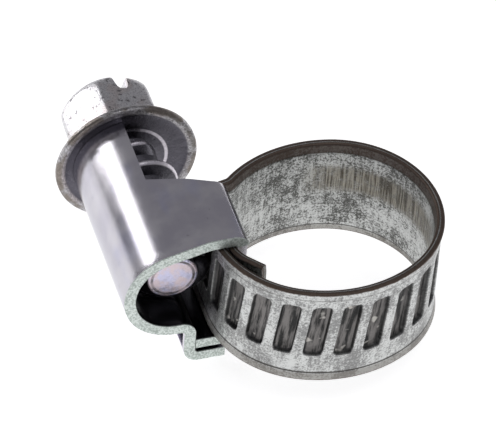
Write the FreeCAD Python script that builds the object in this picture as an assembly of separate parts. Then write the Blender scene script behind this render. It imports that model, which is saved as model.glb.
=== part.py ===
import FreeCAD, Part
import math
import os
from FreeCAD import Vector, Rotation, Placement

# Worm-drive hose clamp, 9 mm band, millimetres.
# Frame: +Z is the axis of the hose, z = 0 is the middle of the band's width, and the
# screw lies parallel to +Y on the -X side, with its head toward +Y.

# ---- band strip -------------------------------------------------------------------
BAND_W = 9.0            # across the strip
BAND_T = 0.6            # sheet
FLARE_W = 0.75          # turned-out margin along each long edge
FLARE_OUT = 0.15        # how far that margin turns out
PITCH = 2.2             # thread pitch, so also groove spacing
LINK_PITCHES = 2        # length of one link of the strip, in grooves
HOSE_R = 7.1            # inner radius of the open loop opposite the screw
BACK_R = 9.45           # mid-sheet radius of the back of the open loop
FRONT_R = 9.53          # mid-sheet radius of the front of the open loop
ENTRY_R = 7.41          # mid-sheet radius where the strip comes back into the housing
HEAD_HEADING = 40.4     # direction of the strip where it leaves the housing, degrees from +X
BACK_LINKS = 2
SIDE_LINKS = 4
FRONT_LINKS = 2
ENTRY_LINKS = 2

# ---- fixed end of the strip -------------------------------------------------------
EXIT_HEADING = 12.0     # direction just before the outward kink at the housing's head side
KINK_R = 0.9
BEND_R = 1.2
TONGUE_Y = -1.1         # where the tongue starts to turn into the loop
TONGUE_R = 2.5
TONGUE_TURN = 42.0
TONGUE_L = 1.5

# ---- worm screw -------------------------------------------------------------------
SCREW_X = -12.45
SCREW_Z = 0.6
THREAD_R = 3.15
ROOT_R = 2.25
CREST_W = 0.45          # width of the thread at its crest
FLANK_W = 1.15          # width of the thread at its root
THREAD_TURNS = 5.0
TAIL_Y = 0.1            # tail face of the screw
FLANGE_Y = 12.5         # underside of the flange's rim
FLANGE_R = 5.48
RIM_T = 0.5             # thickness of the flange's rim
COLLAR_Y = 14.1         # where the flange's slope meets the hexagon
COLLAR_R = 4.0
DISH_R = 4.95           # the flange's underside is dished inside this radius
DISH_D = 0.22
HEX_AF = 7.0
HEX_TURN = 45.5         # first corner, degrees from +X toward +Z
HEAD_TOP_Y = 18.75
HEAD_CHAMFER = 0.9
SLOT_W = 1.1
SLOT_D = 1.7

# ---- housing ----------------------------------------------------------------------
SHEET = 0.85            # housing sheet
TAIL_END_Y = -1.66      # plane of the housing's tail end
BARREL_END_Y = 12.65
BARREL_R = 3.32         # inside radius round the thread
LIP_Y = 6.4             # where the shoulder stops on the barrel's side
SIDE_BACK = 0.35        # the barrel's cut edge, this far outside the screw's axis
HOOK_Y = 3.7            # where the shoulder stops on the hose's side
WALL_X = -8.14          # band side of the inner wall
EDGE_GAP = 0.12         # between the band's edges and the sheet that hooks over them
SHOULDER_SLOPE = 14.6   # degrees
CORNER_R = 0.72         # mid-sheet bend radius of the sheet's folds
STEP_X = -11.4          # mid-sheet position of the step under the band
FOOT_END_X = -8.64
SEAM_GAP = 0.45         # between the two lapped layers under the band
TAB_Y = (-1.1, 1.1)     # locking tab of the inner layer
TAB_OUT = 0.2           # how far the tab passes through the step
SLOT_TOP_Z = -4.2       # top of the slot in the step that the tab passes through

# ---- grooves ----------------------------------------------------------------------
GROOVE_W = 1.4
GROOVE_L = 5.0
GROOVE_D = 0.36
GROOVE_Z = 0.5          # middle of the grooves in the band's width
FIRST_GROOVED_LINK = 5
GROOVE_TILT = math.degrees(math.atan(PITCH / (2 * math.pi * THREAD_R)))

LINK_L = PITCH * LINK_PITCHES
Z_UP = Vector(0, 0, 1)


def unit(heading):
    """Direction of travel for a heading in degrees from +X."""
    a = math.radians(heading)
    return Vector(math.cos(a), math.sin(a), 0)


def walk(point, heading, leg):
    """End point and end heading after one leg: (length, radius, sign), sign +1 left, -1 right, 0 straight."""
    length, radius, sign = leg
    if sign == 0:
        return point + unit(heading) * length, heading
    centre = point + unit(heading + 90 * sign) * radius
    turned = heading + sign * math.degrees(length / radius)
    return centre - unit(turned + 90 * sign) * radius, turned


def sweep_leg(profile, point, heading, leg):
    """Solid of a profile carried along one leg; profile points are (left of travel, z)."""
    length, radius, sign = leg
    left = unit(heading + 90)
    corners = [point + left * s + Z_UP * z for s, z in profile]
    face = Part.Face(Part.makePolygon(corners + corners[:1]))
    if sign == 0:
        return face.extrude(unit(heading) * length)
    centre = point + left * sign * radius
    return face.revolve(centre, Z_UP * sign, math.degrees(length / radius))


def sweep(profile, point, heading, legs):
    """One fused solid carried along several legs."""
    solids = []
    for leg in legs:
        solids.append(sweep_leg(profile, point, heading, leg))
        point, heading = walk(point, heading, leg)
    body = solids[0]
    if len(solids) > 1:
        body = body.fuse(solids[1:]).removeSplitter()
    return body


def arc(radius, turn):
    """Leg that turns by so many degrees, left if positive."""
    return radius * math.radians(abs(turn)), radius, 1 if turn > 0 else -1


def straight(length):
    return length, 0.0, 0


def save(node, shape):
    shape.exportStep("parts/" + node + ".step")
    box = shape.BoundBox
    print("%-16s solids %d valid %s vol %8.3f  x %.2f..%.2f y %.2f..%.2f z %.2f..%.2f" % (
        node, len(shape.Solids), shape.isValid(), shape.Volume,
        box.XMin, box.XMax, box.YMin, box.YMax, box.ZMin, box.ZMax))


# Section of the strip: the left of the travel is the outside of the loop.
HALF_T = BAND_T / 2
HALF_W = BAND_W / 2
BAND_SECTION = [
    (-HALF_T, FLARE_W - HALF_W),
    (-HALF_T, HALF_W - FLARE_W),
    (FLARE_OUT - HALF_T, HALF_W),
    (FLARE_OUT + HALF_T, HALF_W),
    (HALF_T, HALF_W - FLARE_W),
    (HALF_T, FLARE_W - HALF_W),
    (FLARE_OUT + HALF_T, -HALF_W),
    (FLARE_OUT - HALF_T, -HALF_W),
]


def arc_leg(radius):
    """Right-hand arc as long as one link."""
    return LINK_L, radius, -1


def band_route():
    """Start point, heading and leg of every link, from the housing's head side round to the free tail."""
    side_r = HOSE_R + HALF_T
    link_legs = [arc_leg(BACK_R)] * BACK_LINKS + [arc_leg(side_r)] * SIDE_LINKS
    link_legs += [arc_leg(FRONT_R)] * FRONT_LINKS + [arc_leg(ENTRY_R)] * ENTRY_LINKS + [straight(LINK_L)]
    heading = HEAD_HEADING
    for leg in link_legs[:BACK_LINKS]:
        heading = walk(Vector(), heading, leg)[1]
    # The side arc is centred on the hose axis, so its start is known and the other links follow from it.
    points = {BACK_LINKS: unit(heading + 90) * side_r}
    headings = {BACK_LINKS: heading}
    for i in reversed(range(BACK_LINKS)):
        headings[i] = headings[i + 1] + math.degrees(LINK_L / BACK_R)
        centre = points[i + 1] - unit(headings[i + 1] + 90) * BACK_R
        points[i] = centre + unit(headings[i] + 90) * BACK_R
    for i in range(BACK_LINKS, len(link_legs) - 1):
        points[i + 1], headings[i + 1] = walk(points[i], headings[i], link_legs[i])
    return [(points[i], headings[i], leg) for i, leg in enumerate(link_legs)]


def groove_cutter(point, heading):
    """Slanted pocket in the outer face, square to the strip at the given mid-sheet point."""
    depth = GROOVE_D + 2.0
    block = Part.makeBox(GROOVE_W, depth, GROOVE_L, Vector(-GROOVE_W / 2, HALF_T - GROOVE_D, -GROOVE_L / 2))
    block.rotate(Vector(), Vector(0, 1, 0), -GROOVE_TILT)
    block.translate(Vector(0, 0, GROOVE_Z))
    block.rotate(Vector(), Z_UP, heading)
    block.translate(point)
    return block


def band_link(index, route):
    point, heading, leg = route[index]
    link = sweep(BAND_SECTION, point, heading, [leg])
    if index < FIRST_GROOVED_LINK:
        return link
    cutters = []
    for k in range(LINK_PITCHES):
        part_way = ((k + 0.5) * PITCH, leg[1], leg[2])
        cutters.append(groove_cutter(*walk(point, heading, part_way)))
    return link.cut(cutters)


def band_anchor(route):
    """Fixed end of the strip: inner layer through the housing, with its tongue inside the loop."""
    exit_point, exit_heading, _ = route[0]
    # Worked backwards from the exit, so the travel is reversed and the outside is on the right.
    section = [(-s, z) for s, z in BAND_SECTION]
    kink = arc(KINK_R, EXIT_HEADING - HEAD_HEADING)
    point, heading = walk(exit_point, exit_heading + 180, kink)
    layer_x = WALL_X - 0.02 - HALF_T
    bend_end_x = point.x + (unit(heading + 90).x - 1) * BEND_R
    lead = straight((layer_x - bend_end_x) / unit(heading).x)
    bend = arc(BEND_R, 270 - heading)
    for leg in (lead, bend):
        point, heading = walk(point, heading, leg)
    legs = [kink, lead, bend, straight(point.y - TONGUE_Y), arc(TONGUE_R, TONGUE_TURN), straight(TONGUE_L)]
    return sweep(section, exit_point, exit_heading + 180, legs)


def worm_thread(first_y, turns):
    """Helical ridge whose crest meets the band's side of the screw at first_y."""
    start = -0.1
    helix = Part.makeHelix(PITCH, PITCH * turns, ROOT_R)
    inner = ROOT_R - 0.25
    root_half = FLANK_W / 2
    crest_half = CREST_W / 2
    corners = [
        Vector(inner, 0, -root_half),
        Vector(THREAD_R, 0, -crest_half),
        Vector(THREAD_R, 0, crest_half),
        Vector(inner, 0, root_half),
    ]
    profile = Part.makePolygon(corners + corners[:1])
    ridge = Part.Wire(helix).makePipeShell([profile], True, True)
    ridge = Part.Solid(ridge) if ridge.ShapeType == "Shell" else ridge
    # Local +Z becomes +Y, and the start turns back from the band's side by part of a turn.
    ridge.Placement = Placement(Vector(0, first_y + start * PITCH, 0), Rotation(Vector(1, 0, 0), -90))
    ridge.rotate(Vector(0, 0, 0), Vector(0, 1, 0), start * 360)
    return ridge


def turned(profile):
    """Body of revolution about the screw's axis from (radius, y) corners."""
    corners = [Vector(r, y, 0) for r, y in profile]
    face = Part.Face(Part.makePolygon(corners + corners[:1]))
    return face.revolve(Vector(), Vector(0, 1, 0), 360)


def head_block():
    """Hexagon with crowned corners and a screwdriver slot across two of its flats."""
    corner_r = HEX_AF / math.sqrt(3)
    corners = []
    for k in range(7):
        a = math.radians(HEX_TURN + 60 * k)
        corners.append(Vector(corner_r * math.cos(a), COLLAR_Y - 0.4, corner_r * math.sin(a)))
    hexagon = Part.Face(Part.makePolygon(corners)).extrude(Vector(0, HEAD_TOP_Y - COLLAR_Y + 0.4, 0))
    crown = turned([
        (0, COLLAR_Y - 0.5),
        (corner_r + 0.1, COLLAR_Y - 0.5),
        (corner_r + 0.1, HEAD_TOP_Y - HEAD_CHAMFER),
        (HEX_AF / 2, HEAD_TOP_Y - 0.4),
        (HEX_AF / 2 - 0.5, HEAD_TOP_Y),
        (0, HEAD_TOP_Y),
    ])
    slot = Part.makeBox(2 * HEX_AF, SLOT_D + 1, SLOT_W, Vector(-HEX_AF, HEAD_TOP_Y - SLOT_D, -SLOT_W / 2))
    slot.rotate(Vector(), Vector(0, 1, 0), -(HEX_TURN + 30))
    return hexagon.common(crown).cut(slot)


def worm_screw(engaged_y):
    chamfer = 0.3
    rim_back = FLANGE_Y + RIM_T
    shank = turned([
        (0, TAIL_Y),
        (ROOT_R - chamfer, TAIL_Y),
        (ROOT_R, TAIL_Y + chamfer),
        (ROOT_R, FLANGE_Y + DISH_D),
        (DISH_R - DISH_D, FLANGE_Y + DISH_D),
        (DISH_R, FLANGE_Y),
        (FLANGE_R - 0.1, FLANGE_Y),
        (FLANGE_R, FLANGE_Y + 0.12),
        (FLANGE_R, rim_back - 0.1),
        (FLANGE_R - 0.1, rim_back),
        (COLLAR_R, COLLAR_Y),
        (0, COLLAR_Y),
    ])
    screw = shank.fuse([head_block(), worm_thread(engaged_y, THREAD_TURNS)]).removeSplitter()
    screw.translate(Vector(SCREW_X, 0, SCREW_Z))
    return screw


def across_y(shape):
    """Turns a shape built in the XY plane so that it stands in the XZ plane, its depth along -Y."""
    shape.rotate(Vector(), Vector(1, 0, 0), 90)
    return shape


def wrap_legs():
    """Start point, heading and legs of the housing's sheet, mid-sheet, from the foot round to the lapped end."""
    half = SHEET / 2
    lap_z = -HALF_W - EDGE_GAP - half
    foot_z = lap_z - SHEET - SEAM_GAP
    top_z = HALF_W + EDGE_GAP + half
    wall_mid = WALL_X + half
    ring = BARREL_R + half
    floor_z = SCREW_Z - ring
    legs = [straight(FOOT_END_X - CORNER_R - STEP_X), arc(CORNER_R, -90)]
    rise = floor_z - foot_z - 2 * CORNER_R
    legs += [straight(rise), arc(CORNER_R, 90)]
    legs.append(straight(STEP_X - CORNER_R - SCREW_X))
    legs.append(arc(ring, SHOULDER_SLOPE - 180))
    point, heading = Vector(FOOT_END_X, foot_z, 0), 180
    for leg in legs:
        point, heading = walk(point, heading, leg)
    bend = 3.0
    drop = bend * (1 - math.cos(math.radians(SHOULDER_SLOPE)))
    slant = (top_z - drop - point.y) / math.sin(math.radians(SHOULDER_SLOPE))
    legs += [straight(slant), arc(bend, -SHOULDER_SLOPE)]
    for leg in legs[-2:]:
        point, heading = walk(point, heading, leg)
    legs += [straight(wall_mid - CORNER_R - point.x), arc(CORNER_R, -90)]
    legs += [straight(top_z - lap_z - 2 * CORNER_R), arc(CORNER_R, -90)]
    legs.append(straight(wall_mid - CORNER_R - STEP_X - half - 0.05))
    return Vector(FOOT_END_X, foot_z, 0), 180, legs, lap_z


def housing():
    point, heading, legs, lap_z = wrap_legs()
    half = SHEET / 2
    section = [(-half, -BARREL_END_Y), (half, -BARREL_END_Y), (half, -TAIL_END_Y), (-half, -TAIL_END_Y)]
    wrap = across_y(sweep(section, point, heading, legs))
    far = 40.0
    # Head side: the shoulder, the hook and the lapped layers stop short, only the barrel goes on.
    side_x = SCREW_X - SIDE_BACK
    plan = [
        Vector(side_x, BARREL_END_Y + 1, -far / 2),
        Vector(side_x, LIP_Y, -far / 2),
        Vector(side_x + 2.85, LIP_Y - 1.35, -far / 2),
        Vector(WALL_X - 0.2, HOOK_Y + 0.7, -far / 2),
        Vector(WALL_X + SHEET + 1, HOOK_Y, -far / 2),
        Vector(WALL_X + far, HOOK_Y, -far / 2),
        Vector(WALL_X + far, BARREL_END_Y + 1, -far / 2),
    ]
    cut_away = Part.Face(Part.makePolygon(plan + plan[:1])).extrude(Vector(0, 0, far))
    floor_top = SCREW_Z - BARREL_R - SHEET - 0.1
    tray = Part.makeBox(STEP_X - side_x - 0.7, BARREL_END_Y, SHEET + 0.3, Vector(side_x, 0, floor_top))
    wrap = wrap.cut(cut_away.cut(tray))
    # The wall is cut back at both ends where the fixed layer of the strip bends into the loop.
    for low_y, high_y in ((TAIL_END_Y - 0.1, TONGUE_Y), (HOOK_Y + 0.15, LIP_Y)):
        relief = Part.makeBox(SHEET + 0.3, high_y - low_y, BAND_W + EDGE_GAP,
                              Vector(WALL_X - 0.2, low_y, -HALF_W - EDGE_GAP / 2))
        wrap = wrap.cut(relief)
    slot_low = lap_z - half - 0.1
    slot = Part.makeBox(SHEET + 0.6, TAB_Y[1] - TAB_Y[0] + 0.2, SLOT_TOP_Z - slot_low,
                        Vector(STEP_X - half - 0.5, TAB_Y[0] - 0.1, slot_low))
    tab = Part.makeBox(SHEET + TAB_OUT + 0.4, TAB_Y[1] - TAB_Y[0], SHEET,
                       Vector(STEP_X - half - TAB_OUT, TAB_Y[0], lap_z - half))
    keep_lap = Part.makeBox(4.0, 20.0, SHEET + 0.4, Vector(STEP_X + half + 0.02, -10, lap_z - half - 0.2))
    lap = wrap.common(keep_lap)
    wrap = wrap.cut(slot)
    return wrap.fuse([lap, tab]).removeSplitter()


def main():
    os.makedirs("parts", exist_ok=True)
    route = band_route()
    tail_point = route[-1][0]
    engaged_y = tail_point.y + 0.5 * PITCH
    for i, (point, heading, _) in enumerate(route):
        hinge = point - unit(heading + 90) * HALF_T
        print("hinge %02d at %.4f %.4f heading %.3f" % (i + 1, hinge.x, hinge.y, heading))
    for i in range(len(route)):
        save("band_link_%02d" % (i + 1), band_link(i, route))
    save("band_anchor", band_anchor(route))
    save("worm_screw", worm_screw(engaged_y))
    save("housing", housing())


main()
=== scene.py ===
import math
import bpy
from mathutils import Matrix, Vector


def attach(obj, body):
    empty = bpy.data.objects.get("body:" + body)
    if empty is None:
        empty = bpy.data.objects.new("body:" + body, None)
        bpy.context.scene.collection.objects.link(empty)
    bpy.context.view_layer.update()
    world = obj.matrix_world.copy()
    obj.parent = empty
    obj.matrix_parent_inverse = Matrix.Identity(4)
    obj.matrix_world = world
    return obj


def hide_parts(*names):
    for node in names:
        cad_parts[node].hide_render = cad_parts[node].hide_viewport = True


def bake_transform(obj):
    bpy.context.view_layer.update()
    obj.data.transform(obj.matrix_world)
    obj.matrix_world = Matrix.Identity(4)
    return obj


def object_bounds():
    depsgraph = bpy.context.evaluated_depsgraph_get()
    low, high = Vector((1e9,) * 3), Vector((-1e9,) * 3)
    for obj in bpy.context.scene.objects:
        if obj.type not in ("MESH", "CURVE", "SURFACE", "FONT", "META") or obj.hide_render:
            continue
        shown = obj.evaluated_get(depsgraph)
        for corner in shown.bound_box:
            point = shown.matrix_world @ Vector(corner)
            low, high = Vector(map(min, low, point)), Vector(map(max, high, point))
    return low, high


# Looks of the worm-drive hose clamp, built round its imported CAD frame. Sizes are in
# millimetres and become metres where a mesh is made.
MM = 0.001
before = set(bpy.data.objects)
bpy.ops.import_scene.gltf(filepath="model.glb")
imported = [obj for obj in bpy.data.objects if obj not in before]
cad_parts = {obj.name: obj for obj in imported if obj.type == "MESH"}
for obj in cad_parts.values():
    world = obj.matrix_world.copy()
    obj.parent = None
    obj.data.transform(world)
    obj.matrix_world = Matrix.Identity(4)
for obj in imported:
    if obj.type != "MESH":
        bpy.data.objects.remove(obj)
cad_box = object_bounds()

# ---- band strip, as in the CAD ----------------------------------------------------
BAND_W = 9.0
BAND_T = 0.6
FLARE_W = 0.75
FLARE_OUT = 0.15
PITCH = 2.2
LINK_L = 2 * PITCH
LINKS = 11
SIDE_R = 7.4
BACK_R = 9.45
FRONT_R = 9.53
ENTRY_R = 7.41
HEAD_HEADING = 40.4
FIRST_GROOVED_LINK = 5
GROOVE_W = 1.4
GROOVE_L = 5.0
GROOVE_D = 0.36
GROOVE_Z = 0.5
GROOVE_CORNER = 0.4
INNER_MARK_D = 0.035
GROOVE_SLANT = PITCH / (2 * math.pi * 3.15)
EXIT_HEADING = 12.0
KINK_R = 0.9
BEND_R = 1.2
TONGUE_Y = -1.1
TONGUE_R = 2.5
TONGUE_TURN = 42.0
TONGUE_L = 1.5
LAYER_GAP = 0.02
HALF_T = BAND_T / 2
HALF_W = BAND_W / 2

# Looks only: how far the inner face is shifted in the flat map, to tell it from the outer one.
INSIDE_SHIFT = 20.0

# ---- housing, as in the CAD -------------------------------------------------------
SCREW_X = -12.45
SCREW_Z = 0.6
SHEET = 0.85
TAIL_END_Y = -1.66
BARREL_END_Y = 12.65
BARREL_R = 3.32
LIP_Y = 6.4
LIP_RUN = 2.85
LIP_DROP = 1.35
HOOK_Y = 3.7
HOOK_RISE = 0.7
HOOK_INSET = 0.2
HOOK_RELIEF = 0.15
WALL_X = -8.14
EDGE_GAP = 0.12
SHOULDER_SLOPE = 14.6
SHOULDER_BEND_R = 3.0
CORNER_R = 0.72
STEP_X = -11.4
LAP_END_GAP = 0.05
FOOT_END_X = -8.64
SEAM_GAP = 0.45
TAB_Y = 1.1
SLOT_TOP_Z = -4.2
SHOULDER_X = SCREW_X - 0.35
FLOOR_X = STEP_X - 0.7

# ---- screw, as in the CAD ---------------------------------------------------------
THREAD_R = 3.15
ROOT_R = 2.25
THREAD_TURNS = 5.0
THREAD_START_Y = 0.99
TAIL_Y = 0.1
FLANGE_Y = 12.5
FLANGE_R = 5.48
COLLAR_Y = 14.1
DISH_R = 4.95
DISH_D = 0.22
HEX_AF = 7.0
HEX_TURN = 45.5
HEAD_TOP_Y = 18.75
SLOT_D = 1.7


# ---- paths ------------------------------------------------------------------------
def unit(heading):
    a = math.radians(heading)
    return Vector((math.cos(a), math.sin(a)))


def walk(point, heading, leg, length=None):
    """Point and heading after a leg (length, radius, sign), or after part of it."""
    full, radius, sign = leg
    length = full if length is None else length
    if sign == 0:
        return point + unit(heading) * length, heading
    centre = point + unit(heading + 90 * sign) * radius
    turned = heading + sign * math.degrees(length / radius)
    return centre - unit(turned + 90 * sign) * radius, turned


def arc(radius, turn):
    return radius * math.radians(abs(turn)), radius, 1 if turn > 0 else -1


def straight(length):
    return length, 0.0, 0


def smooth(x, low, high):
    t = min(max((x - low) / (high - low), 0.0), 1.0)
    return t * t * (3 - 2 * t)


class Path:
    """Legs laid end to end from a start point and heading."""

    def __init__(self, point, heading, legs):
        self.legs = []
        at = 0.0
        for leg in legs:
            self.legs.append((at, point, heading, leg))
            at += leg[0]
            point, heading = walk(point, heading, leg)
        self.length = at
        self.end = point

    def at(self, s):
        inside = [row for row in self.legs if row[0] <= s + 1e-9] or self.legs[:1]
        start, point, heading, leg = inside[-1]
        return walk(point, heading, leg, s - start)

    def lines(self, bend_step=9.0, straight_step=1.0):
        """Distances along the path, close together where it bends."""
        found = [0.0]
        for start, _, _, (length, radius, sign) in self.legs:
            if sign:
                count = max(2, round(math.degrees(length / radius) / bend_step))
            else:
                count = max(1, round(length / straight_step))
            found += [start + length * (k + 1) / count for k in range(count)]
        return found


def band_path():
    legs = [(LINK_L, BACK_R, -1)] * 2 + [(LINK_L, SIDE_R, -1)] * 4
    legs += [(LINK_L, FRONT_R, -1)] * 2 + [(LINK_L, ENTRY_R, -1)] * 2 + [straight(LINK_L)]
    side_heading = HEAD_HEADING - 2 * math.degrees(LINK_L / BACK_R)
    centre = unit(side_heading + 90) * (SIDE_R - BACK_R)
    return Path(centre + unit(HEAD_HEADING + 90) * BACK_R, HEAD_HEADING, legs)


def anchor_path(exit_point):
    kink = arc(KINK_R, EXIT_HEADING - HEAD_HEADING)
    point, heading = walk(exit_point, HEAD_HEADING + 180, kink)
    layer_x = WALL_X - LAYER_GAP - HALF_T
    bend_end_x = point.x + (unit(heading + 90).x - 1) * BEND_R
    lead = straight((layer_x - bend_end_x) / unit(heading).x)
    bend = arc(BEND_R, 270 - heading)
    for leg in (lead, bend):
        point, heading = walk(point, heading, leg)
    legs = [kink, lead, bend, straight(point.y - TONGUE_Y)]
    legs += [arc(TONGUE_R, TONGUE_TURN), straight(TONGUE_L)]
    return Path(exit_point, HEAD_HEADING + 180, legs)


def wrap_path():
    """Mid-line of the housing's sheet in the XZ plane, from the foot round to the lapped end."""
    half = SHEET / 2
    lap_z = -HALF_W - EDGE_GAP - half
    foot_z = lap_z - SHEET - SEAM_GAP
    top_z = HALF_W + EDGE_GAP + half
    wall_mid = WALL_X + half
    ring = BARREL_R + half
    legs = [straight(FOOT_END_X - CORNER_R - STEP_X), arc(CORNER_R, -90)]
    legs += [straight(SCREW_Z - ring - foot_z - 2 * CORNER_R), arc(CORNER_R, 90)]
    legs += [straight(STEP_X - CORNER_R - SCREW_X), arc(ring, SHOULDER_SLOPE - 180)]
    start = Vector((FOOT_END_X, foot_z))
    end = Path(start, 180, legs).end
    slope = math.radians(SHOULDER_SLOPE)
    slant = (top_z - SHOULDER_BEND_R * (1 - math.cos(slope)) - end.y) / math.sin(slope)
    legs += [straight(slant), arc(SHOULDER_BEND_R, -SHOULDER_SLOPE)]
    end = Path(start, 180, legs).end
    legs += [straight(wall_mid - CORNER_R - end.x), arc(CORNER_R, -90)]
    legs += [straight(top_z - lap_z - 2 * CORNER_R), arc(CORNER_R, -90)]
    legs.append(straight(wall_mid - CORNER_R - STEP_X - half - LAP_END_GAP))
    return Path(start, 180, legs)


# ---- meshes -----------------------------------------------------------------------
def mesh_object(name, verts, faces, sharp=38.0):
    mesh = bpy.data.meshes.new(name)
    mesh.from_pydata([tuple(c * MM for c in v) for v in verts], [], faces)
    mesh.validate()
    mesh.shade_smooth()
    mesh.set_sharp_from_angle(angle=math.radians(sharp))
    obj = bpy.data.objects.new(name, mesh)
    bpy.context.scene.collection.objects.link(obj)
    return obj


def add_values(obj, name, values):
    layer = obj.data.attributes.new(name, "FLOAT", "POINT")
    layer.data.foreach_set("value", values)


def add_flat_map(obj, places):
    layer = obj.data.uv_layers.new(name="flat")
    for loop in obj.data.loops:
        layer.data[loop.index].uv = places[loop.vertex_index]


def groove_amount(s, z):
    """1 on a groove's floor, 0 on the strip's face."""
    first = FIRST_GROOVED_LINK * LINK_L
    if s < first or s > LINKS * LINK_L:
        return 0.0
    ds = abs((s - first) % PITCH - PITCH / 2)
    dz = abs(z - GROOVE_Z)
    qx = ds - GROOVE_W / 2 + GROOVE_CORNER
    qz = dz - GROOVE_L / 2 + GROOVE_CORNER
    gap = math.hypot(max(qx, 0), max(qz, 0)) + min(max(qx, qz), 0) - GROOVE_CORNER
    return 1 - smooth(gap, -0.12, 0.04)


def flare(z):
    return FLARE_OUT * smooth(abs(z), HALF_W - FLARE_W - 0.25, HALF_W - 0.1)


# Lines across the strip's faces, its rounded edge as (z, depth), and lines along one half groove.
FACE_Z = [4.36, 4.2, 4.05, 3.9, 3.75, 3.6, 3.4, 3.15, 3.03, 2.96, 2.9, 2.8, 2.6, 2.35, 2.0]
FACE_Z += [1.4, 0.8, 0.2, -0.4, -1.0, -1.35, -1.6, -1.8, -1.9, -1.96, -2.03, -2.15, -2.5, -3.0]
FACE_Z += [-3.4, -3.6, -3.75, -3.9, -4.05, -4.2, -4.36]
EDGE_ROUND = [(4.44, 0.03), (4.49, 0.1), (4.5, 0.2)]
CELL = [0.12, 0.24, 0.33, 0.38, 0.43, 0.49, 0.58, 0.75, 0.92]


def strip_ring():
    """(z, thickness share from -1 inside to 1 outside) round the strip's section."""
    ring = [(z, 1.0) for z in FACE_Z]
    low = [(-z, 1 - 2 * d / BAND_T) for z, d in EDGE_ROUND]
    ring += low + [(z, -share) for z, share in reversed(low)]
    ring += [(z, -1.0) for z in reversed(FACE_Z)]
    high = [(z, 2 * d / BAND_T - 1) for z, d in EDGE_ROUND]
    ring += high + [(z, -share) for z, share in reversed(high)]
    return ring


def strip_lines(start, end):
    """Distances along the strip, crowded at the walls of the grooves."""
    first = FIRST_GROOVED_LINK * LINK_L
    lines = {start, end}
    grooved = CELL + [PITCH / 2] + [PITCH - c for c in CELL]
    plain = [0.37, 0.73, 1.1, 1.47, 1.83]
    k = 0
    while k * PITCH < end:
        base = k * PITCH
        inner = grooved if base >= first - 1e-6 else plain
        lines.update(base + c for c in [0.0] + inner if start < base + c < end)
        k += 1
    ordered = sorted(lines)
    return [s for i, s in enumerate(ordered) if i == 0 or s - ordered[i - 1] > 1e-6]


def strip_piece(name, path, lines, outward=1, grooved=True):
    """Length of strip as a closed mesh, with its grooves, flared margins and rounded edges."""
    ring = strip_ring()
    verts, places, grooves, faces = [], [], [], []
    for line in lines:
        slant = GROOVE_SLANT * smooth(line, 18.0, 22.0) if grooved else 0.0
        for z, share in ring:
            s = min(max(line - slant * (z - GROOVE_Z), 0.0), path.length)
            point, heading = path.at(s)
            dip = groove_amount(line, z) if grooved else 0.0
            lift = share * HALF_T + flare(z)
            lift -= GROOVE_D * dip if share > 0.5 else INNER_MARK_D * dip
            spot = point + unit(heading + 90 * outward) * lift
            verts.append((spot.x, spot.y, z))
            places.append((line, z if share > 0 else z + INSIDE_SHIFT))
            grooves.append(dip)
    n = len(ring)
    for i in range(len(lines) - 1):
        for j in range(n):
            k = (j + 1) % n
            quad = (i * n + j, i * n + k, (i + 1) * n + k, (i + 1) * n + j)
            faces.append(quad if outward > 0 else quad[::-1])
    first, last = tuple(range(n)), tuple((len(lines) - 1) * n + j for j in range(n))
    faces += [first[::-1], last] if outward > 0 else [first, last[::-1]]
    obj = mesh_object(name, verts, faces, 50.0)
    add_values(obj, "groove", grooves)
    add_flat_map(obj, places)
    return obj


def plan_end(x):
    """How far the sheet reaches toward the head at this x, outside the barrel."""
    corners = [(SHOULDER_X, LIP_Y), (SHOULDER_X + LIP_RUN, LIP_Y - LIP_DROP)]
    corners += [(WALL_X - HOOK_INSET, HOOK_Y + HOOK_RISE), (WALL_X + SHEET + 1, HOOK_Y)]
    if x <= corners[0][0]:
        return LIP_Y
    for (x0, y0), (x1, y1) in zip(corners, corners[1:]):
        if x <= x1:
            return y0 + (y1 - y0) * (x - x0) / (x1 - x0)
    return HOOK_Y


def cut_box(obj, low, high):
    """Cuts a box, given by two corners, out of a mesh."""
    xs, ys, zs = zip(low, high)
    verts = [(x, y, z) for x in xs for y in ys for z in zs]
    faces = [(0, 1, 3, 2), (4, 6, 7, 5), (0, 4, 5, 1), (2, 3, 7, 6), (0, 2, 6, 4), (1, 5, 7, 3)]
    cut_away(obj, mesh_object("cutter", verts, faces))


def cut_away(obj, cutter):
    cut = obj.modifiers.new("cut", "BOOLEAN")
    cut.object = cutter
    cut.solver = "EXACT"
    apply_modifiers(obj)
    bpy.data.objects.remove(cutter)


def apply_modifiers(obj):
    bpy.context.view_layer.update()
    evaluated = obj.evaluated_get(bpy.context.evaluated_depsgraph_get())
    mesh = bpy.data.meshes.new_from_object(evaluated)
    obj.modifiers.clear()
    obj.data = mesh


def round_edges(obj, width, segments=3, angle=35.0):
    bevel = obj.modifiers.new("rounded", "BEVEL")
    bevel.width = width * MM
    bevel.segments = segments
    bevel.limit_method = "ANGLE"
    bevel.angle_limit = math.radians(angle)
    apply_modifiers(obj)
    obj.data.shade_smooth()
    obj.data.set_sharp_from_angle(angle=math.radians(50))


def crossing(marks, x, above):
    """Where the sheet, past its foot, first crosses x above or below the screw."""
    foot_length = 3.0
    for (s0, p0), (s1, p1) in zip(marks, marks[1:]):
        if s0 > foot_length and (p0.y > SCREW_Z) == above and (p0.x - x) * (p1.x - x) < 0:
            return s0 + (s1 - s0) * (x - p0.x) / (p1.x - p0.x)


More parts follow.
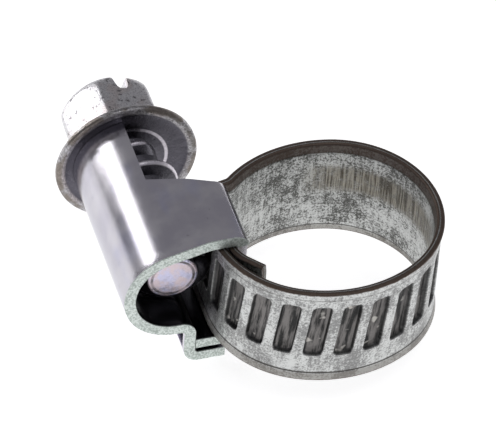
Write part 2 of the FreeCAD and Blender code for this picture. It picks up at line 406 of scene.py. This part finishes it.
def housing_shell():
    """Folded sheet as a grid of cells: columns along the fold path, rows along the screw."""
    path = wrap_path()
    marks = [(s, path.at(s)[0]) for s in path.lines(7.0, 0.8)]
    # Columns exactly where the barrel leaves the shoulder and the floor.
    barrel_start = crossing(marks, FLOOR_X, False)
    barrel_end = crossing(marks, SHOULDER_X, True)
    wall = [s for s, p in marks if p.x > WALL_X and abs(p.y) < HALF_W]
    stations = sorted({s for s, _ in marks} | {barrel_start, barrel_end})
    rows = 12
    long_rows = 8
    half = SHEET / 2
    grid = {}
    verts, within, faces = [], [], []
    for i, s in enumerate(stations):
        point, heading = path.at(s)
        normal = unit(heading + 90)
        in_barrel = barrel_start - 1e-6 <= s <= barrel_end + 1e-6
        low = TAIL_END_Y
        high = plan_end(point.x)
        if wall[0] < s < wall[-1]:
            low, high = TONGUE_Y, HOOK_Y + HOOK_RELIEF
        ends = [low + (high - low) * j / rows for j in range(rows + 1)]
        if in_barrel:
            reach = BARREL_END_Y - high
            ends += [high + reach * (j + 1) / long_rows for j in range(long_rows)]
        for j, y in enumerate(ends):
            for layer in (0, 1):
                spot = point + normal * (half if layer else -half)
                grid[i, j, layer] = len(verts)
                verts.append((spot.x, y, spot.y))
                within.append(1.0 - layer)

    def square_at(i, j):
        return [(i, j), (i + 1, j), (i + 1, j + 1), (i, j + 1)]

    cells = [(i, j) for i in range(len(stations) - 1) for j in range(rows + long_rows)]
    cells = [cell for cell in cells if all((a, b, 0) in grid for a, b in square_at(*cell))]
    taken = set(cells)
    for i, j in cells:
        square = square_at(i, j)
        faces.append(tuple(grid[a, b, 1] for a, b in square))
        faces.append(tuple(grid[a, b, 0] for a, b in reversed(square)))
        sides = [((i, j - 1), 0), ((i + 1, j), 1), ((i, j + 1), 2), ((i - 1, j), 3)]
        for neighbour, k in sides:
            if neighbour not in taken:
                (a, b), (c, d) = square[k], square[(k + 1) % 4]
                faces.append((grid[a, b, 0], grid[c, d, 0], grid[c, d, 1], grid[a, b, 1]))
    shell = mesh_object("housing_shell", verts, faces)
    add_values(shell, "within", within)
    return shell


def about_screw(radius, y, angle):
    return SCREW_X + radius * math.cos(angle), y, SCREW_Z + radius * math.sin(angle)


def turned_mesh(name, rows, sharp=38.0, steps=144):
    """Closed body round the screw's axis; each row is (y, radius at an angle in radians)."""
    verts, faces = [], []
    angles = [2 * math.pi * k / steps for k in range(steps)]
    for y, radius in rows:
        verts += [about_screw(radius(angle), y, angle) for angle in angles]
    for i in range(len(rows) - 1):
        for k in range(steps):
            m = (k + 1) % steps
            faces.append((i * steps + k, i * steps + m, (i + 1) * steps + m, (i + 1) * steps + k))
    faces.append(tuple(reversed(range(steps))))
    faces.append(tuple((len(rows) - 1) * steps + k for k in range(steps)))
    return mesh_object(name, verts, faces, sharp)


def screw_shank():
    """Shank, dished flange and collar; each part is (y from its base, radius)."""
    tail = [(0, 1.75), (0.03, 1.88), (0.12, 2.0), (0.3, 2.05), (0.42, 2.2), (0.6, ROOT_R)]
    dish = [(-0.1, ROOT_R), (0, ROOT_R + 0.1), (0.03, 3.2), (0, 3.5), (-0.05, 4.1), (-0.02, 4.55)]
    flange = [(0.1, 4.8), (0.02, DISH_R), (0, DISH_R + 0.1), (0, FLANGE_R - 0.13)]
    flange += [(0.04, FLANGE_R - 0.05), (0.13, FLANGE_R), (0.38, FLANGE_R), (0.48, FLANGE_R - 0.07)]
    flange += [(0.54, FLANGE_R - 0.2), (0.78, 4.95), (1.15, 4.5)]
    collar = [(-0.15, 4.12), (0, 3.95), (0.02, 3.7), (0.02, 1.5)]
    profile = []
    parts = ((TAIL_Y, tail), (FLANGE_Y + DISH_D, dish), (FLANGE_Y, flange), (COLLAR_Y, collar))
    for base, part in parts:
        profile += [(base + dy, radius) for dy, radius in part]
    return turned_mesh("screw_shank", [(y, lambda a, r=r: r) for y, r in profile], 60.0)


def screw_head():
    """Hexagon with softened corners and a domed crown, slotted across two flats."""
    half = HEX_AF / 2

    def side(angle, limit):
        off = (math.degrees(angle) - HEX_TURN) % 60 - 30
        flat = half / math.cos(math.radians(off))
        power = 26.0
        return (flat ** -power + limit ** -power) ** (-1 / power)

    crown = [(0, 4.02), (0.6, 4.0), (1.5, 4.0), (2.4, 4.0), (3.1, 3.98), (3.5, 3.9), (3.85, 3.78)]
    crown += [(4.15, 3.6), (4.38, 3.36), (4.52, 3.1), (4.6, 2.8), (4.65, 2.4), (4.65, 1.2)]
    rows = [(COLLAR_Y + dy, lambda a, limit=limit: side(a, limit)) for dy, limit in crown]
    head = turned_mesh("screw_head", rows, 60.0)
    slot = math.radians(HEX_TURN + 30)
    across = Vector((math.cos(slot), 0, math.sin(slot)))
    beside = Vector((-math.sin(slot), 0, math.cos(slot)))
    base = Vector((SCREW_X, HEAD_TOP_Y, SCREW_Z))
    outline = [(-0.95, 0.6), (-0.72, -0.05), (-0.6, -0.5), (-0.52, -1.1), (-0.42, -1.5)]
    outline.append((-0.22, -SLOT_D))
    outline += [(-x, y) for x, y in reversed(outline)]
    reach = 5.0
    verts = []
    for end in (-reach, reach):
        verts += [tuple(base + across * end + beside * x + Vector((0, y, 0))) for x, y in outline]
    n = len(outline)
    faces = [(k, (k + 1) % n, n + (k + 1) % n, n + k) for k in range(n)]
    faces += [tuple(reversed(range(n))), tuple(n + k for k in range(n))]
    cutter = mesh_object("slot_cutter", verts, faces)
    cutter.data.flip_normals()
    cut_away(head, cutter)
    round_edges(head, 0.14, 3, 40.0)
    return head


def screw_thread():
    """Right-hand helical ridge, tapering into the shank at both ends."""
    foot = ROOT_R - 0.2
    flank = [(foot, 0.62), (2.4, 0.52), (2.95, 0.29), (3.08, 0.2), (THREAD_R, 0.1)]
    section = [(radius, -dy) for radius, dy in flank] + flank[::-1]
    steps = 60
    count = round(steps * THREAD_TURNS)
    start_turn = -0.1
    taper = 0.12
    verts, faces = [], []
    n = len(section)
    for i in range(count + 1):
        turn = start_turn + i / steps
        grow = min(smooth(i / steps, 0.0, taper), smooth((count - i) / steps, 0.0, taper))
        for radius, dy in section:
            out = foot + (radius - foot) * (0.25 + 0.75 * grow)
            verts.append(about_screw(out, THREAD_START_Y + turn * PITCH + dy, -2 * math.pi * turn))
    for i in range(count):
        for k in range(n):
            m = (k + 1) % n
            faces.append((i * n + k, (i + 1) * n + k, (i + 1) * n + m, i * n + m))
    faces += [tuple(range(n)), tuple(count * n + k for k in reversed(range(n)))]
    return mesh_object("screw_thread", verts, faces, 60.0)


# ---- shader helpers ---------------------------------------------------------------
class Finish:
    """A procedural material under construction."""

    def __init__(self, name):
        self.material = bpy.data.materials.new(name)
        self.material.use_nodes = True
        self.tree = self.material.node_tree
        self.shader = self.tree.nodes["Principled BSDF"]

    def node(self, kind, **settings):
        made = self.tree.nodes.new(kind)
        for key, value in settings.items():
            setattr(made, key, value)
        return made

    def feed(self, socket, value):
        if isinstance(value, bpy.types.NodeSocket):
            self.tree.links.new(value, socket)
        else:
            socket.default_value = value

    def math(self, operation, *values):
        made = self.node("ShaderNodeMath", operation=operation)
        for socket, value in zip(made.inputs, values):
            self.feed(socket, value)
        return made.outputs[0]

    def plus(self, a, b):
        return self.math("ADD", a, b)

    def times(self, a, b):
        return self.math("MULTIPLY", a, b)

    def between(self, value, low, low_end, high, high_end):
        """1 from low_end to high, falling to 0 at low and at high_end."""
        rise = self.ramp(value, low, low_end)
        return self.times(rise, self.ramp(value, high, high_end, 1.0, 0.0))

    def ramp(self, value, low, high, out_low=0.0, out_high=1.0):
        made = self.node("ShaderNodeMapRange", interpolation_type="SMOOTHSTEP")
        for socket, given in zip(made.inputs, (value, low, high, out_low, out_high)):
            self.feed(socket, given)
        return made.outputs[0]

    def mix(self, share, a, b):
        made = self.node("ShaderNodeMix", data_type="RGBA")
        for socket, value in ((0, share), (6, a), (7, b)):
            if isinstance(value, tuple):
                value = (*value, 1.0)
            self.feed(made.inputs[socket], value)
        return made.outputs[2]

    def scaled(self, place, scale, shift=(0, 0, 0)):
        made = self.node("ShaderNodeMapping")
        self.feed(made.inputs["Vector"], place)
        made.inputs["Scale"].default_value = scale
        made.inputs["Location"].default_value = shift
        return made.outputs[0]

    def noise(self, place, scale, detail=3.0, roughness=0.55):
        made = self.node("ShaderNodeTexNoise")
        self.feed(made.inputs["Vector"], place)
        made.inputs["Scale"].default_value = scale
        made.inputs["Detail"].default_value = detail
        made.inputs["Roughness"].default_value = roughness
        return made.outputs[0]

    def bump(self, height, strength, depth):
        made = self.node("ShaderNodeBump")
        made.inputs["Strength"].default_value = strength
        made.inputs["Distance"].default_value = depth * MM
        self.feed(made.inputs["Height"], height)
        self.feed(self.shader.inputs["Normal"], made.outputs[0])

    def attribute(self, name):
        return self.node("ShaderNodeAttribute", attribute_name=name).outputs["Fac"]

    def millimetres(self):
        place = self.node("ShaderNodeTexCoord").outputs["Object"]
        return self.scaled(place, (1000, 1000, 1000))

    def apart(self, vector):
        made = self.node("ShaderNodeSeparateXYZ")
        self.feed(made.inputs[0], vector)
        return made.outputs

    def surface(self, colour, roughness, metallic=1.0):
        self.feed(self.shader.inputs["Base Color"], colour)
        self.feed(self.shader.inputs["Roughness"], roughness)
        self.feed(self.shader.inputs["Metallic"], metallic)
        return self.material


def strip_finish():
    f = Finish("band_zinc")
    flat = f.node("ShaderNodeUVMap", uv_map="flat").outputs[0]
    along, across, _ = f.apart(flat)
    inside = f.math("GREATER_THAN", across, INSIDE_SHIFT / 2)
    outer = f.math("SUBTRACT", 1.0, inside)
    z = f.math("SUBTRACT", across, f.times(inside, INSIDE_SHIFT))
    away = f.math("ABSOLUTE", z)
    mottle = f.noise(flat, 1.4, 5.0, 0.65)
    speckle = f.noise(flat, 5.5, 3.0, 0.85)
    patch = f.noise(flat, 0.3, 2.0)
    streak = f.noise(f.scaled(flat, (3.4, 0.22, 1)), 1.0, 3.0)
    tone = f.plus(f.times(mottle, 0.32), f.times(speckle, 0.68))
    tone = f.plus(tone, f.times(f.math("SUBTRACT", streak, 0.5), 0.2))
    tone = f.plus(tone, f.times(f.math("SUBTRACT", patch, 0.5), 0.3))
    light = f.ramp(tone, 0.43, 0.57)
    dark = f.mix(inside, (0.26, 0.26, 0.258), (0.09, 0.09, 0.085))
    colour = f.mix(light, dark, (0.67, 0.68, 0.67))
    colour = f.mix(f.times(inside, 0.12), colour, (0.16, 0.165, 0.15))
    # Brownish rubbed patch along the inner face, on the far side of the loop.
    rub = f.times(f.between(along, 6.0, 9.0, 19.0, 22.0), f.between(z, -0.6, 0.4, 1.8, 2.8))
    rub = f.times(f.times(rub, inside), f.ramp(mottle, 0.35, 0.55, 0.5, 0.95))
    stripe = f.noise(f.scaled(flat, (7.0, 0.25, 1), (9, 4, 0)), 1.0, 3.0, 0.6)
    rubbed = f.mix(f.ramp(stripe, 0.4, 0.6), (0.07, 0.06, 0.045), (0.34, 0.32, 0.27))
    rubbed = f.mix(f.ramp(speckle, 0.45, 0.6, 0.0, 0.4), rubbed, (0.09, 0.08, 0.065))
    colour = f.mix(rub, colour, rubbed)
    groove = f.attribute("groove")
    wall = f.times(f.times(groove, f.math("SUBTRACT", 1.0, groove)), 4.0)
    floor_streak = f.noise(f.scaled(flat, (2.6, 0.3, 1), (3, 1, 0)), 1.0, 4.0, 0.6)
    worn = f.noise(flat, 0.9, 2.0, 0.5)
    # Groove floors are painted darker than the face as painted shade in the recess, with lighter
    # patches of real wear.
    groove_floor_shade_and_wear = f.mix(f.ramp(floor_streak, 0.40, 0.60), (0.035, 0.035, 0.035), (0.20, 0.19, 0.185))
    groove_floor_shade_and_wear = f.mix(f.ramp(worn, 0.62, 0.70, 0.0, 0.7), groove_floor_shade_and_wear, (0.62, 0.60, 0.56))
    colour = f.mix(f.times(groove, outer), colour, groove_floor_shade_and_wear)
    # Painted shade: the groove walls on the outer face are darkened almost to black.
    colour = f.mix(f.times(f.times(wall, outer), 0.85), colour, (0.03, 0.03, 0.03))
    # Margins: dark brown at the edges, dark brown with painted shade along the inside of the top,
    # grey-brown at the bottom.
    ragged = f.times(f.math("SUBTRACT", mottle, 0.5), 0.3)
    brown = f.mix(speckle, (0.05, 0.036, 0.03), (0.20, 0.155, 0.13))
    # Inside of the top margin: brown colour plus painted shade where the margin flares outward.
    inner_top_brown_and_shade = f.times(inside, f.ramp(f.plus(z, ragged), 3.65, 3.8))
    colour = f.mix(f.times(inner_top_brown_and_shade, 0.85), colour, brown)
    low = f.times(f.ramp(z, -3.8, -3.9), 0.55)
    colour = f.mix(low, colour, (0.22, 0.20, 0.175))
    rim = f.ramp(f.plus(away, ragged), 4.3, 4.42)
    colour = f.mix(rim, colour, brown)
    # Painted shade: a dark line along the fold of each flared margin, stronger toward the bottom
    # edge.
    fold_shade_line = f.between(away, 3.62, 3.74, 3.76, 3.86)
    fold_shade_line = f.times(fold_shade_line, f.ramp(z, -1.0, 1.0, 0.95, 0.45))
    colour = f.mix(fold_shade_line, colour, (0.05, 0.045, 0.04))
    f.bump(f.plus(speckle, f.times(mottle, 0.8)), 0.55, 0.06)
    return f.surface(colour, f.ramp(speckle, 0.3, 0.7, 0.36, 0.52))


def housing_finish():
    f = Finish("housing_zinc")
    place = f.millimetres()
    x, y, z = f.apart(place)
    cloud = f.noise(place, 0.35, 3.0)
    fine = f.noise(place, 7.0, 3.0, 0.6)
    tint = f.mix(f.ramp(cloud, 0.35, 0.65), (0.52, 0.50, 0.56), (0.62, 0.60, 0.64))
    blue = f.noise(f.scaled(place, (0.5, 0.2, 0.5), (7, 2, 5)), 1.0, 2.0)
    tint = f.mix(f.times(f.ramp(blue, 0.52, 0.72), 0.35), tint, (0.46, 0.47, 0.66))
    # Painted shade: the barrel's left side, away from the soft box, is darkened.
    tint = f.mix(f.ramp(x, SCREW_X - 4.6, SCREW_X - 2.6, 0.4, 0.0), tint, (0.30, 0.30, 0.34))
    specks = f.ramp(f.noise(place, 2.6, 2.0, 0.7), 0.70, 0.76)
    tint = f.mix(f.times(specks, 0.6), tint, (0.20, 0.19, 0.20))
    # Painted shade: the inner face of the folded sheet is painted near-black.
    inner = f.ramp(f.attribute("within"), 0.7, 1.0)
    tint = f.mix(inner, tint, (0.06, 0.06, 0.065))
    edge = f.ramp(y, TAIL_END_Y + 0.06, TAIL_END_Y + 0.12, 1.0, 0.0)
    grit = f.mix(f.ramp(fine, 0.38, 0.6), (0.42, 0.47, 0.44), (0.70, 0.75, 0.72))
    colour = f.mix(edge, tint, grit)
    rough = f.plus(f.ramp(cloud, 0.3, 0.7, 0.17, 0.25), f.times(edge, 0.35))
    f.bump(fine, 0.25, 0.02)
    return f.surface(colour, rough)


def screw_finish():
    f = Finish("screw_zinc")
    place = f.millimetres()
    x, y, z = f.apart(place)
    pits = f.noise(place, 2.2, 5.0, 0.65)
    fine = f.noise(place, 9.0, 3.0, 0.6)
    warm = f.noise(place, 0.5, 2.0)
    grey = f.mix(f.ramp(fine, 0.35, 0.65), (0.50, 0.49, 0.51), (0.70, 0.69, 0.71))
    colour = f.mix(f.times(f.ramp(warm, 0.5, 0.62), 0.3), grey, (0.52, 0.40, 0.36))
    pit = f.times(f.ramp(pits, 0.36, 0.44, 1.0, 0.0), 0.8)
    colour = f.mix(pit, colour, (0.10, 0.09, 0.10))
    below_head = f.ramp(y, COLLAR_Y - 0.3, COLLAR_Y + 0.3, 1.0, 0.0)
    rough_skin = f.times(below_head, f.ramp(fine, 0.42, 0.56))
    colour = f.mix(f.times(rough_skin, 0.7), colour, (0.14, 0.13, 0.13))
    # The flange's rolled edge is darker brown; its dished underside and the shank and thread below
    # it are painted shade, with the thread crests painted light; the tail face is bare and lilac.
    across = f.plus(x, -SCREW_X)
    rise = f.plus(z, -SCREW_Z)
    out = f.math("SQRT", f.plus(f.math("POWER", across, 2.0), f.math("POWER", rise, 2.0)))
    # Painted shade: the dish underside and everything below it inside radius 4.7, shank and thread,
    # is painted dark.
    under_flange_shade = f.ramp(y, FLANGE_Y + DISH_D + 0.04, FLANGE_Y + DISH_D + 0.1, 1.0, 0.0)
    under_flange_shade = f.times(under_flange_shade, f.ramp(out, 4.7, 4.9, 1.0, 0.0))
    colour = f.mix(under_flange_shade, colour, (0.12, 0.115, 0.135))
    # Thread crests painted light: partly painted highlight, partly worn bare metal.
    crest_highlight_and_wear = f.between(out, 2.95, 3.05, 3.2, 3.3)
    colour = f.mix(crest_highlight_and_wear, colour, (0.72, 0.68, 0.74))
    rolled = f.times(f.ramp(out, 4.95, 5.2), f.ramp(warm, 0.42, 0.56))
    colour = f.mix(f.times(rolled, 0.75), colour, (0.17, 0.145, 0.12))
    tail = f.ramp(y, TAIL_Y + 0.02, TAIL_Y + 0.08, 1.0, 0.0)
    cloud = f.noise(place, 0.9, 3.0)
    face = f.mix(f.ramp(cloud, 0.4, 0.6), (0.66, 0.56, 0.60), (0.58, 0.57, 0.74))
    colour = f.mix(tail, colour, face)
    ring = f.times(f.between(out, 1.46, 1.54, 1.66, 1.74), f.ramp(cloud, 0.4, 0.55, 0.5, 0.95))
    ring = f.times(ring, f.ramp(y, TAIL_Y + 0.4, TAIL_Y + 0.5, 1.0, 0.0))
    colour = f.mix(ring, colour, (0.12, 0.11, 0.11))
    f.bump(f.plus(pits, f.times(fine, 0.3)), 0.6, 0.09)
    return f.surface(colour, f.ramp(fine, 0.3, 0.7, 0.26, 0.38))


def plain_floor():
    f = Finish("floor_paper")
    grain = f.noise(f.millimetres(), 0.4, 2.0)
    colour = f.mix(grain, (0.83, 0.83, 0.83), (0.87, 0.87, 0.87))
    f.shader.inputs["Emission Color"].default_value = (1, 1, 1, 1)
    f.shader.inputs["Emission Strength"].default_value = 0.78
    f.shader.inputs["Specular IOR Level"].default_value = 0.0
    return f.surface(colour, 0.9, 0.0)


def dress(obj, material):
    obj.data.materials.clear()
    obj.data.materials.append(material)


# ---- studio -----------------------------------------------------------------------
CAMERA_ANGLES = (-19.79, 44.76, 4.32)
CAMERA_LENS = 338.44
CAMERA_DISTANCE = 344.69
CAMERA_AIM = (-0.844, -0.161, 0)
CAMERA_LEFT = 5.634
CAMERA_UP = 3.049


def make_camera():
    azimuth, elevation, roll = (math.radians(degrees) for degrees in CAMERA_ANGLES)
    flat = math.cos(elevation)
    back = Vector((math.sin(azimuth) * flat, -math.cos(azimuth) * flat, math.sin(elevation)))
    level = Vector((math.cos(azimuth), math.sin(azimuth), 0))
    rise = back.cross(level)
    right = level * math.cos(roll) + rise * math.sin(roll)
    up = rise * math.cos(roll) - level * math.sin(roll)
    data = bpy.data.cameras.new("camera")
    data.lens = CAMERA_LENS
    data.sensor_width = 36.0
    data.clip_start = 0.01
    camera = bpy.data.objects.new("camera", data)
    bpy.context.scene.collection.objects.link(camera)
    aim = Vector(CAMERA_AIM) - right * CAMERA_LEFT + up * CAMERA_UP
    camera.rotation_mode = "QUATERNION"
    camera.rotation_quaternion = Matrix((right, up, back)).transposed().to_quaternion()
    camera.location = (aim + back * CAMERA_DISTANCE) * MM
    bpy.context.scene.camera = camera


def area_light(name, where, size, power, toward=(-3, 2, 0)):
    data = bpy.data.lights.new(name, "AREA")
    data.shape = "RECTANGLE"
    data.size, data.size_y = size[0] * MM, size[1] * MM
    data.energy = power
    light = bpy.data.objects.new(name, data)
    bpy.context.scene.collection.objects.link(light)
    light.location = Vector(where) * MM
    light.rotation_mode = "QUATERNION"
    light.rotation_quaternion = (Vector(where) - Vector(toward)).to_track_quat("Z", "Y")


def studio():
    low, _ = cad_box
    bpy.ops.mesh.primitive_plane_add(size=4.0, location=(0, 0, low.z - 0.02 * MM))
    floor = bpy.context.object
    floor.name = "floor"
    floor.data.materials.append(plain_floor())
    world = bpy.data.worlds.new("studio")
    bpy.context.scene.world = world
    world.use_nodes = True
    world.node_tree.nodes["Background"].inputs[0].default_value = (0.95, 0.95, 1, 1)
    world.node_tree.nodes["Background"].inputs[1].default_value = 0.27
    # A soft box behind and to the left of the clamp gives the barrel its highlight, and a small
    # card beside the head lights one of its flats.
    area_light("soft_box", (-148, 175, 127), (84, 84), 0.075, toward=(-12, 6, 4))
    area_light("head_card", (-40, 44, 8), (9, 13), 0.0026, toward=(-15, 16, 3))
    area_light("overhead", (40, -60, 300), (160, 160), 0.10)
    bpy.context.scene.view_settings.view_transform = "Standard"


# ---- pieces -----------------------------------------------------------------------
def make_band(finish):
    """Lengths of strip from mid-link to mid-link; the last rides on the last link, the others stay
    where they are built.
    """
    path = band_path()
    bodies = ["clamp_base"] + ["link_%02d" % (i + 1) for i in range(LINKS)]
    cuts = [0.0] + [(i + 0.5) * LINK_L for i in range(LINKS)] + [LINKS * LINK_L]
    for i in range(LINKS + 1):
        piece = strip_piece("strip_%02d" % (i + 1), path, strip_lines(cuts[i], cuts[i + 1]))
        dress(piece, finish)
        if i == LINKS:
            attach(piece, bodies[LINKS])
            continue
        hinge, heading = path.at(i * LINK_L)
        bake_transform(piece)
        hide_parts("band_link_%02d" % (i + 1))
    anchor = anchor_path(path.at(0)[0])
    fixed = strip_piece("strip_fixed_end", anchor, anchor.lines(6.0, 0.5), -1, False)
    dress(fixed, finish)
    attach(fixed, "clamp_base")
    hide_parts("band_anchor")


def make_housing(finish):
    shell = housing_shell()
    half = SHEET / 2
    lap_z = -HALF_W - EDGE_GAP - half
    cut_box(shell, (STEP_X - half - 0.5, -TAB_Y - 0.1, lap_z - half - 0.1),
            (STEP_X + half + 0.02, TAB_Y + 0.1, SLOT_TOP_Z))
    round_edges(shell, 0.09)
    dress(shell, finish)
    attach(shell, "clamp_base")
    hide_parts("housing")


def make_screw(finish):
    for piece in (screw_shank(), screw_head(), screw_thread()):
        dress(piece, finish)
        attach(piece, "screw")
        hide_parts("worm_screw")


make_camera()
studio()
make_band(strip_finish())
make_housing(housing_finish())
make_screw(screw_finish())
